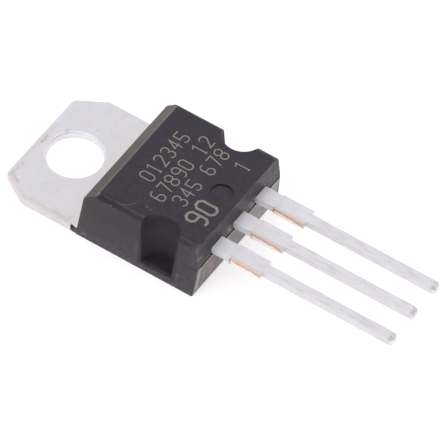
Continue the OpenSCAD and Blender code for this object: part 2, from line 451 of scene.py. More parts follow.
def matte_tin(strip):
    """Matte tin plate on copper: a silky grey-white, cloudy, with a stained border and handling marks."""
    material, tree, mm = new_material("Matte tin plate")
    x, y, z = add(tree, "SeparateXYZ", [mm], "all")
    across = add(tree, "Math", [y], operation="ABSOLUTE")
    cloud = add(tree, "TexNoise", {"Vector": mm, "Scale": 1.1, "Detail": 4.0, "Roughness": 0.6})
    blotch = add(tree, "TexNoise", {"Vector": mm, "Scale": 3.2, "Detail": 3.0, "Roughness": 0.65})
    grain = add(tree, "TexNoise", {"Vector": mm, "Scale": 14.0, "Detail": 2.0})
    drawn = add(tree, "Mapping", {"Vector": mm, "Scale": (0.9, 5.0, 2.0)})
    streak = add(tree, "TexNoise", {"Vector": drawn, "Scale": 1.0, "Detail": 4.0})
    clouded = add(tree, "MapRange", [cloud, 0.35, 0.7, 0.0, 0.16])

    # distance from the tab's outline, which the stain and its ragged inner line follow
    cut = Vector((TAB_HIGH.y - END_Y, CORNER_X - TAB_LOW.x)).normalized()
    from_end = add(tree, "Math", [x, TAB_LOW.x], operation="SUBTRACT")
    from_side = add(tree, "Math", [TAB_HIGH.y, across], operation="SUBTRACT")
    flat = add(tree, "CombineXYZ", [x, across])
    along_cut = add(tree, "VectorMath", [flat, (cut.x, -cut.y, 0)], "Value", operation="DOT_PRODUCT")
    from_cut = add(tree, "Math", [along_cut, cut.x * TAB_LOW.x - cut.y * END_Y], operation="SUBTRACT")
    rim = combine("ADD", combine("MINIMUM", from_end, from_side, from_cut), (blotch, 0.0, 1.0, -0.14, 0.14))
    near_half = add(tree, "MapRange", [y, 1.6, 0.6])
    on_tab = add(tree, "MapRange", [x, 3.2, 2.4])
    ragged = add(tree, "MapRange", [cloud, 0.47, 0.6])
    upper = add(tree, "MapRange", [z, 0.35, 0.5])
    border = product(band(rim, -1.0, 0.36, 0.05), near_half, on_tab, upper, 0.8)
    line = product(band(rim, 0.32, 0.46, 0.07), near_half, on_tab, upper, ragged,
                   (x, -0.9, -0.3, 0.75, 0.25))

    # a duller tab, smudges, hatch scratches, the dam bar's line and a greyer zone by the case
    dull = product(band(x, -9.0, 1.6, 0.9), 0.25)
    smudges = product(spots(mm, [
        ((2.75, -4.5, 0.5), (0.22, 0.28, 1)), ((-2.4, -0.4, 0.5), (0.08, 0.35, 1)),
        ((-2.5, -3.7, 0.5), (0.25, 0.3, 1)), ((0.04, 2.6, 0.5), (0.2, 0.12, 1)),
        ((-1.58, 1.4, 0.5), (0.2, 0.3, 1))]), (grain, 0.35, 0.65, 0.1, 0.5))
    hatch = product(band(add(tree, "Math", [x, 0.11], operation="PINGPONG"), -1, 0.015, 0.015),
                    spot(mm, (-0.05, -3.55, 0.5), (0.4, 0.6, 1)), 0.5)
    dam = product(band(x, 0.79, 0.84, 0.03), band(across, 2.9, 4.8, 0.2), ragged, 0.6)
    beside_case = product(band(x, 1.6, 6.0, 0.9), 0.22)

    # leads: drawn streaks, a rosy tinge beside the cut dam bars, painted shade on the sloped tip and painted
    # light on the roots by the case
    lead = add(tree, "Math", [y, -LEAD_PITCH / 2, LEAD_PITCH / 2], operation="WRAP")
    streaks = product((streak, 0.48, 0.7), (x, 13.0, 17.0), 0.45)
    tinge = product(band(x, *STUB_X, 0.08), band(lead, -1.0, -0.5, 0.1), 0.8)
    # painted shade: the tip's top is darkened where it slopes down
    painted_tip_shade = product(band(x, LEAD_HIGH.x - 0.34, LEAD_HIGH.x + 1, 0.08),
                   band(z, LEAD_HIGH.z - 0.22, LEAD_HIGH.z + 1, 0.04), (blotch, 0.42, 0.56), 0.5)
    # painted light: the leads are lightened just outside the case, which shades them
    painted_root_light = product(band(x, CASE_HIGH.x + 0.2, 13.9, 0.2), 0.4)

    # the walls and rim that the punch has left: the hole's, the tab's and the leads' thin sides
    from_hole = add(tree, "VectorMath", [add(tree, "CombineXYZ", [x, y])], "Value", operation="LENGTH")
    burnished = band(from_hole, -1, HOLE_R + 0.01, 0.01)
    hole_rim = band(from_hole, HOLE_R + 0.01, HOLE_R + 0.15, 0.02)
    lead_side = band(add(tree, "Math", [lead], operation="ABSOLUTE"), LEAD_Y - 0.015, 1, 0.01)
    tab_wall = product(band(z, -1, 0.44, 0.03), on_tab)
    lead_wall = product(lead_side, band(x, STUB_X[1] + 0.05, 99, 0.02))
    cut_wall = product(combine("MAXIMUM", tab_wall, lead_wall), 0.5)

    colour = painted(tree, (*strip.tin, 1), [
        (dull, "#C6C3CC"), (cut_wall, "#CFCBD0"), (burnished, "#E7E5E9"), (hole_rim, "#EBEAEE"),
        (clouded, strip.tarnish), (streaks, "#C2BEC2"), (border, "#D8D1D2"), (line, "#B7AEB2"),
        (smudges, "#B5B4B6"), (hatch, "#ACA8BC"), (dam, "#B0A8AE"), (beside_case, strip.tarnish),
        (painted_root_light, "#FCFBFF"), (tinge, "#DCC6BF"), (painted_tip_shade, "#ABA2A1")])
    etched = band(x, CASE_HIGH.x - 1, 13.9, 0.5)
    gloss = combine("ADD", (cloud, 0.0, 1.0, 0.38, 0.52), product(etched, 0.4))
    bump = add(tree, "Bump", {"Height": grain, "Strength": 0.25, "Distance": 0.000004})
    return shaded(material, {"Base Color": colour, "Metallic": 1.0, "Roughness": gloss, "Normal": bump})


def sheared_copper(strip):
    """Copper sheared after plating: a rosy fracture line that sinks along the stub, with bright tin smeared
    down under it."""
    material, tree, mm = new_material("Sheared copper")
    x, _, z = add(tree, "SeparateXYZ", [mm], "all")
    dragged = add(tree, "Mapping", {"Vector": mm, "Scale": (2.6, 1.0, 1.2)})
    drag = add(tree, "TexNoise", {"Vector": dragged, "Scale": 1.0, "Detail": 3.0})
    height = combine("ADD", z, (drag, 0.0, 1.0, -0.2, 0.16), (x, *STUB_X, -0.08, 0.12))
    smear = add(tree, "MapRange", [height, LEAD_HIGH.z - 0.1, LEAD_HIGH.z - 0.34])
    uneven = add(tree, "TexNoise", {"Vector": mm, "Scale": 4.0, "Detail": 3.0, "Roughness": 0.7})
    fracture = product(band(height, LEAD_HIGH.z - 0.22, LEAD_HIGH.z - 0.1, 0.05),
                       (uneven, 0.38, 0.62, 0.15, 0.75))
    drawn_over = product(band(height, LEAD_HIGH.z - 0.08, LEAD_HIGH.z + 1, 0.06), 0.6)
    burnt = product(band(x, STUB_X[0] - 0.1, STUB_X[0] + 0.12, 0.04), (drag, 0.42, 0.55), 0.6)
    colour = painted(tree, (*strip.copper, 1), [
        (smear, strip.smeared_tin), (drawn_over, "#D9C9C4"), (fracture, "#B07E66"), (burnt, "#6E5A58")])
    bump = add(tree, "Bump", {"Height": drag, "Strength": 0.4, "Distance": 0.00001})
    return shaded(material, {"Base Color": colour, "Metallic": 1.0, "Roughness": 0.42, "Normal": bump})


def moulded_epoxy(case, name, skin, far_lit_skin, gloss_range, specular, streaked=False):
    """Black filled epoxy from an eroded tool: dark and fine-grained, greying where it is seen at a low angle.
    Its edges are rubbed pale and carry a painted highlight, its long edges a painted dark reflection, and a
    streaked face is scored the way it left the mould."""
    material, tree, mm = new_material(name)
    x, y, z = add(tree, "SeparateXYZ", [mm], "all")
    across = add(tree, "Math", [y], operation="ABSOLUTE")
    grain = add(tree, "TexNoise", {"Vector": mm, "Scale": MM / case.grain, "Detail": 3.0, "Roughness": 0.7})
    cloud = add(tree, "TexNoise", {"Vector": mm, "Scale": 0.8, "Detail": 4.0, "Roughness": 0.6})
    patch = add(tree, "TexNoise", {"Vector": mm, "Scale": 2.4, "Detail": 3.0, "Roughness": 0.6})
    mottle = add(tree, "TexNoise", {"Vector": mm, "Scale": 5.0, "Detail": 3.0, "Roughness": 0.7})
    mottle = add(tree, "MapRange", [mottle, 0.38, 0.62])
    scored = add(tree, "Mapping", {"Vector": mm, "Scale": (1.0, 9.0, 0.7)})
    score = add(tree, "TexNoise", {"Vector": scored, "Scale": 1.0, "Detail": 3.0})
    shade = product((score if streaked else grain, 0.3, 0.7, 0.6, 1.4), (patch, 0.3, 0.7, 0.75, 1.25))
    base = add(tree, "VectorMath", {0: tuple(skin), "Scale": shade}, operation="SCALE")
    by_end = add(tree, "MapRange", [x, 11.4, 12.6])

    # rubbed edges with a painted highlight: pale along the top, the slope's top and the lead end, brown on
    # the tab side as a painted reflection; the long edges are painted dark as a painted reflection
    edge_wear_and_light = add(tree, "Attribute", out="Fac", attribute_name="edge_wear_and_light")
    rubbed_and_highlit = product(add(tree, "MapRange", [edge_wear_and_light]), (patch, 0.36, 0.56, 0.05, 0.65))
    # painted dark reflection along the long rounded edges
    long_edge_dark_reflection = add(tree, "MapRange", [edge_wear_and_light, 0.0, -1.0])
    brown = product(rubbed_and_highlit, (x, CASE_X + 0.9, CASE_X + 0.3))
    # painted highlight and wear along the slope's top edge
    slope_rim = product(band(z, CASE_HIGH.z - 0.14, CASE_HIGH.z - 0.02, 0.03),
                        (x, SLOPE_TOP_X + 0.03, SLOPE_TOP_X - 0.05), (patch, 0.36, 0.56, 0.1, 0.35))

    # pale flecks of filler, chips and a round scratch
    jitter = add(tree, "TexNoise", {"Vector": mm, "Scale": 9.0, "Detail": 2.0}, "Color")
    jitter = add(tree, "VectorMath", [jitter, (0.16, 0.16, 0.16), mm], operation="MULTIPLY_ADD")
    cells = add(tree, "TexVoronoi", {"Vector": jitter, "Scale": 2.0}, "all")
    chosen = add(tree, "SeparateXYZ", [cells["Color"]])
    fleck = product((cells["Distance"], 0.11, 0.05), (chosen, 0.72, 0.78), 0.3)
    chips = product(spots(mm, [
        ((5.87, -4.8, 4.17), (0.11, 0.2, 0.09)), ((8.0, -3.72, 4.5), (0.08, 0.08, 0.2)),
        ((8.3, -3.75, 4.5), (0.12, 0.05, 0.2)), ((12.62, -4.5, 3.4), (0.3, 0.4, 0.16)),
        ((6.8, -5.1, 0.5), (0.22, 0.3, 0.05)), ((4.2, -5.1, 0.4), (0.3, 0.3, 0.12)),
        ((11.3, -4.98, 1.2), (0.1, 0.2, 0.1))]), (grain, 0.35, 0.65, 0.05, 0.6))
    from_ring = add(tree, "VectorMath", [mm, (6.3, -3.5, 0)], operation="SUBTRACT")
    from_ring = add(tree, "VectorMath", [from_ring, (1, 1, 0)], operation="MULTIPLY")
    from_ring = add(tree, "VectorMath", [from_ring], "Value", operation="LENGTH")
    scratch = product(band(from_ring, 0.93, 0.97, 0.03),
                      spot(mm, (6.9, -4.2, 4.5), (0.95, 0.9, 0.3)), 0.3)

    # lead end: scuffs over the slots, a stain and crumbs at the corner, the parting line painted black as
    # painted shade, its chipped lip, and a painted highlight down the lower face's near edge
    line_low = LEAD_LOW.z - case.line_height / MM - 0.05
    beside = add(tree, "Math", [y, 0.0, LEAD_PITCH], operation="WRAP")
    beside = add(tree, "CombineXYZ", [x, beside, z])
    scuff = product(
        combine("MAXIMUM", mottle, 0.35),
        spot(beside, (CASE_HIGH.x - 0.1, LEAD_PITCH - 0.95, LEAD_LOW.z + 0.42), (0.4, 0.55, 0.55)),
        (y, -2.6, -2.4), (patch, 0.4, 0.55), 0.85)
    stain = combine("MAXIMUM", spot(mm, (CASE_HIGH.x, -4.2, LEAD_LOW.z + 0.25), (0.5, 0.6, 0.5)),
                    product(band(x, NECK_X - 1, CASE_X, 0.1), 0.25))
    crumbs = product(spot(mm, (CASE_HIGH.x, -4.3, LEAD_LOW.z + 0.55), (0.5, 0.45, 0.7)),
                     (mottle, 0.75, 1.0), 0.6)
    chipped = product(band(z, line_low - 0.1, line_low + 0.03, 0.04), by_end,
                      (mottle, 0.3, 0.8), 0.8 if streaked else 0.0)
    ragged = add(tree, "MapRange", [patch, 0.0, 1.0, -0.1, 0.1])
    # painted shade: the open parting line is painted black
    parting = product(band(combine("ADD", z, ragged), line_low, LEAD_LOW.z + 0.02, 0.03), by_end, 0.8)
    leaning = add(tree, "Math", [z, 0.12, combine("MULTIPLY", y, -1.0)], operation="MULTIPLY_ADD")
    # painted highlight down the near upright edge of the lower face
    lower_edge_highlight = product(band(leaning, 4.58, 4.86, 0.07),
                      (z, LEAD_LOW.z, LEAD_LOW.z - 0.2), by_end, (score, 0.3, 0.6))

    # sides: a rosy edge by the tab that is a painted reflection, dust and painted floor light that lighten
    # them toward the foot, by the lead end and beside a notch, and painted light on the notches' walls
    side = add(tree, "MapRange", [across, TOP_Y - 0.06, TOP_Y + 0.04])
    upright = add(tree, "Math", [z, -WALL_LEAN / (CASE_HIGH.z - SLOPE), x], operation="MULTIPLY_ADD")
    # painted reflection along the rounded edge by the tab
    rosy = product(band(upright, CASE_X - 1, CASE_X + 0.2, 0.1),
                   band(z, TAB_THICK + 0.2, 9, 0.1), side, 0.4)
    foot = combine("ADD", (z, 3.0, 0.1), (z, 0.9, 0.3, 0.0, 0.7))
    by_notch = spot(mm, (8.1, -5.0, 1.5), (0.45, 0.3, 1.3))
    dust_and_floor_light = product(combine("MAXIMUM", foot, by_end, by_notch), side, (patch, 0.3, 0.6, 0.1, 0.26))
    from_notch = add(tree, "CombineXYZ", [add(tree, "Math", [x, NOTCH_X], operation="SUBTRACT"),
                                          add(tree, "Math", [across, NOTCH_Y], operation="SUBTRACT")])
    from_notch = add(tree, "VectorMath", [from_notch], "Value", operation="LENGTH")
    in_notch = product((from_notch, 1.46, 1.42), band(z, NOTCH_FLOOR - 0.2, NOTCH_FLOOR + 3.75, 0.15))
    # painted light on the notches' walls
    painted_notch_light = product(in_notch, band(z, NOTCH_FLOOR + 0.4, 3.4, 0.4), 0.5)
    # painted light: each face grows lighter toward the far side
    far_side_light = add(tree, "MapRange", [y, -1.5, 3.5, 0.0, 0.8 if streaked else 0.5])

    # the long sides are painted darker and purpler: painted shade
    colour = painted(tree, base, [
        (far_side_light, far_lit_skin), (product(side, 0.6), "#220F1E"), (dust_and_floor_light, "#6E6670"), (painted_notch_light, "#443B45"),
        (long_edge_dark_reflection, "#151218"), (rosy, "#61301F"), (slope_rim, case.worn_and_highlit), (rubbed_and_highlit, case.worn_and_highlit),
        (brown, "#A86A4C"), (lower_edge_highlight, "#BDB6BA"), (parting, "#0D0A0C"), (fleck, "#8B888D"),
        (chips, "#A5A19B"), (scratch, "#A9A5A2"), (scuff, "#928D86"), (chipped, "#CCC6C9"),
        (stain, "#2C1512"), (crumbs, "#7A6A68")])
    rough_end = product(spot(mm, (CASE_HIGH.x, -3.4, 3.5), (0.5, 3.0, 1.3)), 0.25)
    rough_end = combine("MAXIMUM", rough_end, product(by_end, mottle, 0.2), product(in_notch, 0.45))
    gloss = combine("ADD", rough_end, (cloud, 0.0, 1.0, *gloss_range))
    bump = add(tree, "Bump", {"Height": grain, "Strength": 0.5, "Distance": 0.000006})
    return shaded(material, {
        "Base Color": colour, "Roughness": gloss, "IOR": 1.5, "Specular IOR Level": specular,
        "Normal": bump})


def burnt_epoxy(marking):
    """Epoxy foamed up by the laser: a pale, dull, slightly uneven grey-brown."""
    material, tree, mm = new_material("Laser-burnt epoxy")
    froth = add(tree, "TexNoise", {"Vector": mm, "Scale": 9.0, "Detail": 3.0})
    shade = add(tree, "MapRange", [froth, 0.3, 0.7, 0.75, 1.15])
    colour = add(tree, "VectorMath", {0: tuple(marking.burnt), "Scale": shade}, operation="SCALE")
    bump = add(tree, "Bump", {"Height": froth, "Strength": 0.5, "Distance": 0.00001})
    return shaded(material, {"Base Color": colour, "Roughness": 0.85, "IOR": 1.5, "Normal": bump})


def inner_material(name, colour, metallic, roughness, scale):
    """A procedural finish for a part that the case hides: a colour with fine variation."""
    material, tree, mm = new_material(name)
    grain = add(tree, "TexNoise", {"Vector": mm, "Scale": scale, "Detail": 3.0})
    shade = add(tree, "MapRange", [grain, 0.0, 1.0, 0.8, 1.1])
    colour = add(tree, "VectorMath", {0: linear(colour), "Scale": shade}, operation="SCALE")
    return shaded(material, {"Base Color": colour, "Metallic": metallic, "Roughness": roughness})


# ---------------------------------------------------------------- the strip

def lead_outline(start):
    """Half of a lead's outline, from its inner end to its tip."""
    return start + [(STUB_X[0], ROOT_Y), (STUB_X[0], STUB_Y), (STUB_X[1], STUB_Y), (STUB_X[1], LEAD_Y),
                    (LEAD_HIGH.x, LEAD_Y)]


def detail_leads(bm, strip, y):
    """Rounds a lead's upper edges, slopes its tip and gives the sheared sides their own material."""
    top = LEAD_HIGH.z
    split(bm, (ROLL_FROM, 0, 0), (1, 0, 0))
    trim(bm, (LEAD_HIGH.x - TIP_RUN, 0, top), (math.sin(TIP_ANGLE), 0, math.cos(TIP_ANGLE)))

    def outer(edge, upper):
        spot = middle(edge)
        flat = [abs(f.normal.z) > 0.9 for f in edge.link_faces]
        level = spot.z > top - 0.2 if upper else abs(spot.z - LEAD_LOW.z) < TOUCH
        return spot.x > ROLL_FROM + TOUCH and level and any(flat) and not all(flat)

    round_edges(bm, [e for e in bm.edges if outer(e, True)], strip.lead_round / MM, 4)
    round_edges(bm, [e for e in bm.edges if outer(e, False)], LOWER_ROUND, 2)
    for face in bm.faces:
        spot = face.calc_center_median()
        if abs(abs(spot.y - y) - STUB_Y) < 1e-3 and STUB_X[0] < spot.x < STUB_X[1]:
            face.material_index = 1


def outer_lead(strip, side):
    """An outer lead with the post inside the case that takes its wire."""
    post = [(LEAD_LOW.x, POST_Y), (POST_X, POST_Y), (POST_X, ROOT_Y)]
    bm = plate(mirrored(lead_outline(post)), LEAD_LOW.z, strip.thickness / MM, {LEAD_HIGH.x: TIP_R})
    centre = LEAD_PITCH * side
    hole = cone(POST_HOLE_X, 0, LEAD_LOW.z - 1, LEAD_HIGH.z + 1, POST_HOLE_R, POST_HOLE_R, 32)
    bm = combined(bm, [hole], "DIFFERENCE")
    bmesh.ops.translate(bm, vec=Vector((0, centre, 0)), verts=bm.verts[:])
    detail_leads(bm, strip, centre)
    return bm


def tab_and_centre_lead(strip):
    """Tab, chip pad, fold and centre lead in one strip."""
    thickness = strip.thickness / MM
    bend = thickness + FOLD_R
    run = (LEAD_LOW.z - (bend + FOLD_R) * (1 - math.cos(FOLD_ANGLE))) / math.sin(FOLD_ANGLE)
    fold_start = FOLD_END - (bend + FOLD_R) * math.sin(FOLD_ANGLE) - run * math.cos(FOLD_ANGLE)
    half = [(TAB_LOW.x, END_Y), (CORNER_X, TAB_HIGH.y), (NECK_X, TAB_HIGH.y), (NECK_X, NECK_Y),
            (PAD_X, NECK_Y), (PAD_X, PAD_Y), (fold_start, PAD_Y), (fold_start, ROOT_Y)]
    bm = plate(mirrored(half), 0, thickness, {TAB_LOW.x: CORNER_R, CORNER_X: CORNER_R})
    pad_end = Vector((fold_start, 0, thickness / 2))
    end = [f for f in bm.faces if (f.calc_center_median() - pad_end).length < TOUCH]
    end = turn(bm, end, (fold_start, 0, bend), (0, -1, 0), FOLD_ANGLE, 8)
    end = lift(bm, end, (run * math.cos(FOLD_ANGLE), 0, run * math.sin(FOLD_ANGLE)))
    end = turn(bm, end, (FOLD_END, 0, LEAD_LOW.z - FOLD_R), (0, 1, 0), FOLD_ANGLE, 8)
    bmesh.ops.delete(bm, geom=end, context="FACES_ONLY")
    lead = plate(mirrored(lead_outline([(FOLD_END, ROOT_Y)])), LEAD_LOW.z, thickness, {LEAD_HIGH.x: TIP_R})
    bmesh.ops.delete(lead, geom=[f for f in lead.faces if abs(f.calc_center_median().x - FOLD_END) < TOUCH],
                     context="FACES_ONLY")
    mesh = mesh_of("scratch", lead)
    bm.from_mesh(mesh)
    bpy.data.meshes.remove(mesh)
    bmesh.ops.remove_doubles(bm, verts=bm.verts[:], dist=TOUCH)
    bmesh.ops.recalc_face_normals(bm, faces=bm.faces[:])
    roll_tab_border(bm, strip, thickness)
    bm = combined(bm, [cone(0, 0, -1, thickness + 1, HOLE_R, HOLE_R)], "DIFFERENCE")

    def on_rim(edge, level):
        return all(abs(v.co.z - level) < TOUCH and abs(v.co.xy.length - HOLE_R) < 2e-3 for v in edge.verts)

    round_edges(bm, [e for e in bm.edges if on_rim(e, thickness)], strip.hole_round / MM, 5)
    round_edges(bm, [e for e in bm.edges if on_rim(e, 0)], LOWER_ROUND, 2)
    detail_leads(bm, strip, 0)
    return bm


def roll_tab_border(bm, strip, thickness):
    """Lowers and rounds the border that the punch rolls over round the tab's top."""
    split(bm, (PAD_X - 0.3, 0, 0), (1, 0, 0))
    top = [f for f in bm.faces if f.normal.z > 0.9 and f.calc_center_median().x < PAD_X - 0.3
           and abs(f.calc_center_median().z - thickness) < TOUCH]
    ring = bmesh.ops.inset_region(bm, faces=top, thickness=strip.roll_width / MM, depth=0,
                                  use_boundary=True, use_even_offset=True)["faces"]
    flat = {v for f in top for v in f.verts}
    rim = {v for f in ring for v in f.verts if v not in flat and v.co.x < PAD_X - 0.31}
    bmesh.ops.translate(bm, vec=Vector((0, 0, -strip.roll_depth / MM)), verts=list(rim))
    inner = [e for e in bm.edges if all(v in flat for v in e.verts) and len(e.link_faces) == 2
             and len([f for f in e.link_faces if f in ring]) == 1 and middle(e).x < PAD_X - 0.6]
    outer = [e for e in bm.edges if all(v in rim for v in e.verts)
             and not all(f in ring for f in e.link_faces)]
    lower = [e for e in bm.edges if all(abs(v.co.z) < TOUCH for v in e.verts) and middle(e).x < NECK_X - 1e-3
             and any(abs(f.normal.z) < 0.5 for f in e.link_faces)]
    round_edges(bm, inner, 0.07, 2)
    round_edges(bm, outer, 0.04, 3)
    round_edges(bm, lower, LOWER_ROUND, 2)


# ---------------------------------------------------------------- the case

def case_block(case):
    """The case's drafted block with its edges rounded."""
    foot_y, top, parting = CASE_HIGH.y, CASE_HIGH.z, LEAD_LOW.z
    slope_x, slope_z = SLOPE_TOP_X - SLOPE_RUN, top - SLOPE
    bm = box((CASE_X, -foot_y, 0), (CASE_HIGH.x, foot_y, top))
    for side in (-1, 1):
        trim(bm, (0, side * foot_y, 0), (0, side * top, foot_y - TOP_Y))
    long_edges = [e for e in bm.edges if middle(e).z > top - 0.01 and abs(middle(e).y) > 1]
    round_edges(bm, long_edges, case.long_edge_round / MM * math.tan(math.radians(43)), 8)
    trim(bm, (CASE_X, 0, 0), (-slope_z, 0, WALL_LEAN))
    trim(bm, (slope_x, 0, slope_z), (-SLOPE, 0, SLOPE_RUN))
    trim(bm, (CASE_HIGH.x, 0, parting), (top - parting, 0, END_LEAN_HIGH))
    trim(bm, (CASE_HIGH.x, 0, parting), (parting, 0, -END_LEAN_LOW))
    bm.normal_update()
    weight = bm.edges.layers.float.new("bevel_weight_edge")
    for edge in bm.edges:
        spans = [abs(f.normal.x) > 0.6 for f in edge.link_faces]
        if any(spans) and not all(spans) and middle(edge).z > 0.01:
            edge[weight] = rim_radius(case, middle(edge)) / (case.upright_round / MM)
    bevel = {"limit_method": "WEIGHT", "width": case.upright_round / MM, "segments": 4}
    return modified(bm, [], [("BEVEL", bevel)])


def rim_radius(case, point):
    """Radius of the ends' rims: smallest along the slope's top, widest down the lead end's upright edges."""
    rim, upright = case.corner_round / MM, case.upright_round / MM
    if point.x < NOTCH_X:
        return rim * (0.3 if point.z > CASE_HIGH.z - 0.05 else 0.75)
    return rim + (upright - rim) * min(1, (CASE_HIGH.z - point.z) / 0.5)


def edge_gaps(point):
    """Distances of a point from the block's long-side planes and from the planes of its two ends."""
    x, y, z = point
    end_x = CASE_HIGH.x - (END_LEAN_HIGH * (z - LEAD_LOW.z) / (CASE_HIGH.z - LEAD_LOW.z) if z > LEAD_LOW.z
                           else END_LEAN_LOW * (LEAD_LOW.z - z) / LEAD_LOW.z)
    slope_x = SLOPE_TOP_X - (CASE_HIGH.z - z) * SLOPE_RUN / SLOPE
    wall_x = CASE_X + WALL_LEAN * z / (CASE_HIGH.z - SLOPE)
    side_y = CASE_HIGH.y - (CASE_HIGH.y - TOP_Y) * z / CASE_HIGH.z
    off_slope = (x - slope_x) * SLOPE / math.hypot(SLOPE, SLOPE_RUN)
    return [CASE_HIGH.z - z, side_y - abs(y)], [end_x - x, off_slope, x - wall_x]


def mark_edge_wear_and_light(bm, case):
    """Marks the rounded edges: 1 where they are rubbed pale and take a painted highlight, -1 along the long
    edges, which take a painted dark reflection, else 0.
    """
    for layer in list(bm.verts.layers.float):
        bm.verts.layers.float.remove(layer)
    edge_wear_and_light = bm.verts.layers.float.new("edge_wear_and_light")
    rim, long_round = case.corner_round / MM, case.long_edge_round / MM
    for vert in bm.verts:
        sides, ends = edge_gaps(vert.co)
        in_notch = math.hypot(vert.co.x - NOTCH_X, abs(vert.co.y) - NOTCH_Y) < NOTCH_R[1] + 0.2
        if min(sides + ends) < 0.004:
            continue
        if vert.co.x > NOTCH_X + 2 and vert.co.z > LEAD_LOW.z + 0.1:
            if 0.002 < ends[0] < 0.35 * rim_radius(case, vert.co):
                vert[edge_wear_and_light] = 0.5 if vert.co.z > 3.9 and sides[1] < long_round else 1.0
        elif vert.co.x > NOTCH_X + 2 and ends[0] < 0.3:
            continue
        # a painted highlight down the near notch's rim
        elif (vert.co.y < 0 and abs(vert.co.x - NOTCH_X - NOTCH_R[0]) < 0.12 and sides[1] < 0.02
              and vert.co.z < 4.2):
            vert[edge_wear_and_light] = 0.5
        elif min(ends) < 0.6 * rim and (min(sides) < 0.6 * rim or max(sides) < long_round):
            vert[edge_wear_and_light] = 1.0 if vert.co.z > TAB_THICK + 0.1 else 0.0
        elif max(sides) < long_round and not in_notch:
            vert[edge_wear_and_light] = -1.0


def soften_notches(bm, case):
    """Rounds the rims where the notches' walls meet the top and its long edges."""
    def off_wall(point):
        reach = math.hypot(point.x - NOTCH_X, abs(point.y) - NOTCH_Y)
        rise = (point.z - NOTCH_FLOOR) / (CASE_HIGH.z - NOTCH_FLOOR)
        return abs(reach - NOTCH_R[0] - rise * (NOTCH_R[1] - NOTCH_R[0]))

    def on_wall(element):
        return all(off_wall(v.co) < 4e-3 for v in element.verts)

    rims = [e for e in bm.edges if on_wall(e) and middle(e).z > CASE_HIGH.z - 0.4
            and sum(on_wall(f) and f.normal.z < 0.9 for f in e.link_faces) == 1]
    round_edges(bm, rims, case.notch_round / MM, 4)


def tongue(side):
    """The flash beside the tab's neck: a low block with a sagging top, rounded on its outer corner. It stands
    a little inside the case's side, so that the two join cleanly."""
    bm = box((NECK_X, NECK_Y, 0), (CASE_X + 0.3, CASE_HIGH.y - 0.04, TONGUE_HIGH))
    round_edges(bm, [e for e in bm.edges if middle(e).x < NECK_X + 0.01 and middle(e).y > NECK_Y + 0.1
                     and abs(middle(e).z - TONGUE_HIGH / 2) < 0.01], 0.12, 5)
    round_edges(bm, [e for e in bm.edges if middle(e).z > TONGUE_HIGH - 0.01
                     and len(e.link_faces) == 2 and middle(e).x < CASE_X], 0.07, 3)
    for step in (0.3, 0.5, 0.7):
        split(bm, (NECK_X + step * (CASE_X - NECK_X), 0, 0), (1, 0, 0))
    for vert in bm.verts:
        along = (vert.co.x - NECK_X) / (CASE_X - NECK_X)
        if vert.co.z > TONGUE_HIGH - 0.1 and 0.2 < along < 0.8:
            vert.co.z -= TONGUE_SAG * (1 - ((along - 0.5) / 0.4) ** 2)
    bmesh.ops.scale(bm, vec=Vector((1, side, 1)), verts=bm.verts[:])
    bmesh.ops.recalc_face_normals(bm, faces=bm.faces[:])
    return bm


def moulded_case(case, strips):
    """The whole case: tongues, notches, ejector mark, parting line, slots and the room for what it holds."""
    top, parting = CASE_HIGH.z, LEAD_LOW.z
    bm = combined(case_block(case), [tongue(-1), tongue(1)], "UNION")
    above = 0.5
    widen = (NOTCH_R[1] - NOTCH_R[0]) / (top - NOTCH_FLOOR) * above
    notches = [cone(NOTCH_X, side * NOTCH_Y, NOTCH_FLOOR, top + above, NOTCH_R[0], NOTCH_R[1] + widen)
               for side in (-1, 1)]
    bm = combined(bm, notches, "DIFFERENCE")
    soften_notches(bm, case)
    line = case.line_height / MM
    cuts = [cone(PIN_X, 0, top - PIN_DEPTH, top + 1, PIN_R, PIN_R),
            box((CASE_HIGH.x - 0.25, 0.45 - CASE_HIGH.y, parting - line),
                (CASE_HIGH.x + 1, CASE_HIGH.y + 1, parting - 0.001))]
    slot = case.slot_width / MM
    for lead in (-1, 0, 1):
        for side in (-1, 1):
            y = LEAD_PITCH * lead + (ROOT_Y + slot / 2) * side
            cuts.append(box((CASE_HIGH.x - 0.4, y - slot / 2 - 0.01, parting - line / 2),
                            (CASE_HIGH.x + 1, y + slot / 2 + 0.01, LEAD_HIGH.z - 0.06)))
    bm = combined(bm, cuts, "DIFFERENCE")
    bm = combined(bm, strips, "DIFFERENCE")
    bmesh.ops.recalc_face_normals(bm, faces=bm.faces[:])
    split(bm, (SLOPE_TOP_X + 0.15, 0, 0), (1, 0, 0))
    split(bm, (CASE_HIGH.x - END_LEAN_HIGH - 0.5, 0, 0), (1, 0, 0))
    mark_edge_wear_and_light(bm, case)
    for face in bm.faces:
        spot = face.calc_center_median()
        # faces toward the tab take the browner copy, partly a painted reflection
        if face.normal.x < -0.65 and spot.x < SLOPE_TOP_X:
            face.material_index = 1
        # the lead end's lower face takes the lighter copy, a painted reflection of the floor
        elif face.normal.x > 0.9 and spot.x > CASE_HIGH.x - 0.3 and spot.z < parting - line:
            face.material_index = 2
    return bm


# ---------------------------------------------------------------- the marking

# Strokes of each figure, from point to point on a grid of 5 columns and 7 rows, column first.
STROKES = {
    "0": ["10 30 41 45 36 16 05 01 10"],
    "1": ["05 26 20", "10 20 30"],
    "2": ["05 16 36 45 44 00 40"],
    "3": ["05 16 36 45 44 33 42 41 30 10 01", "23 33"],
    "4": ["30 32 36 02 32 42"],
    "5": ["46 06 03 33 42 41 30 10 01"],
    "6": ["36 16 05 03 01 10 30 41 42 33 03"],
    "7": ["06 46 20"],
    "8": ["13 04 05 16 36 45 44 33 13 02 01 10 30 41 42 33"],
    "9": ["10 30 41 43 45 36 16 05 04 13 43"],
}


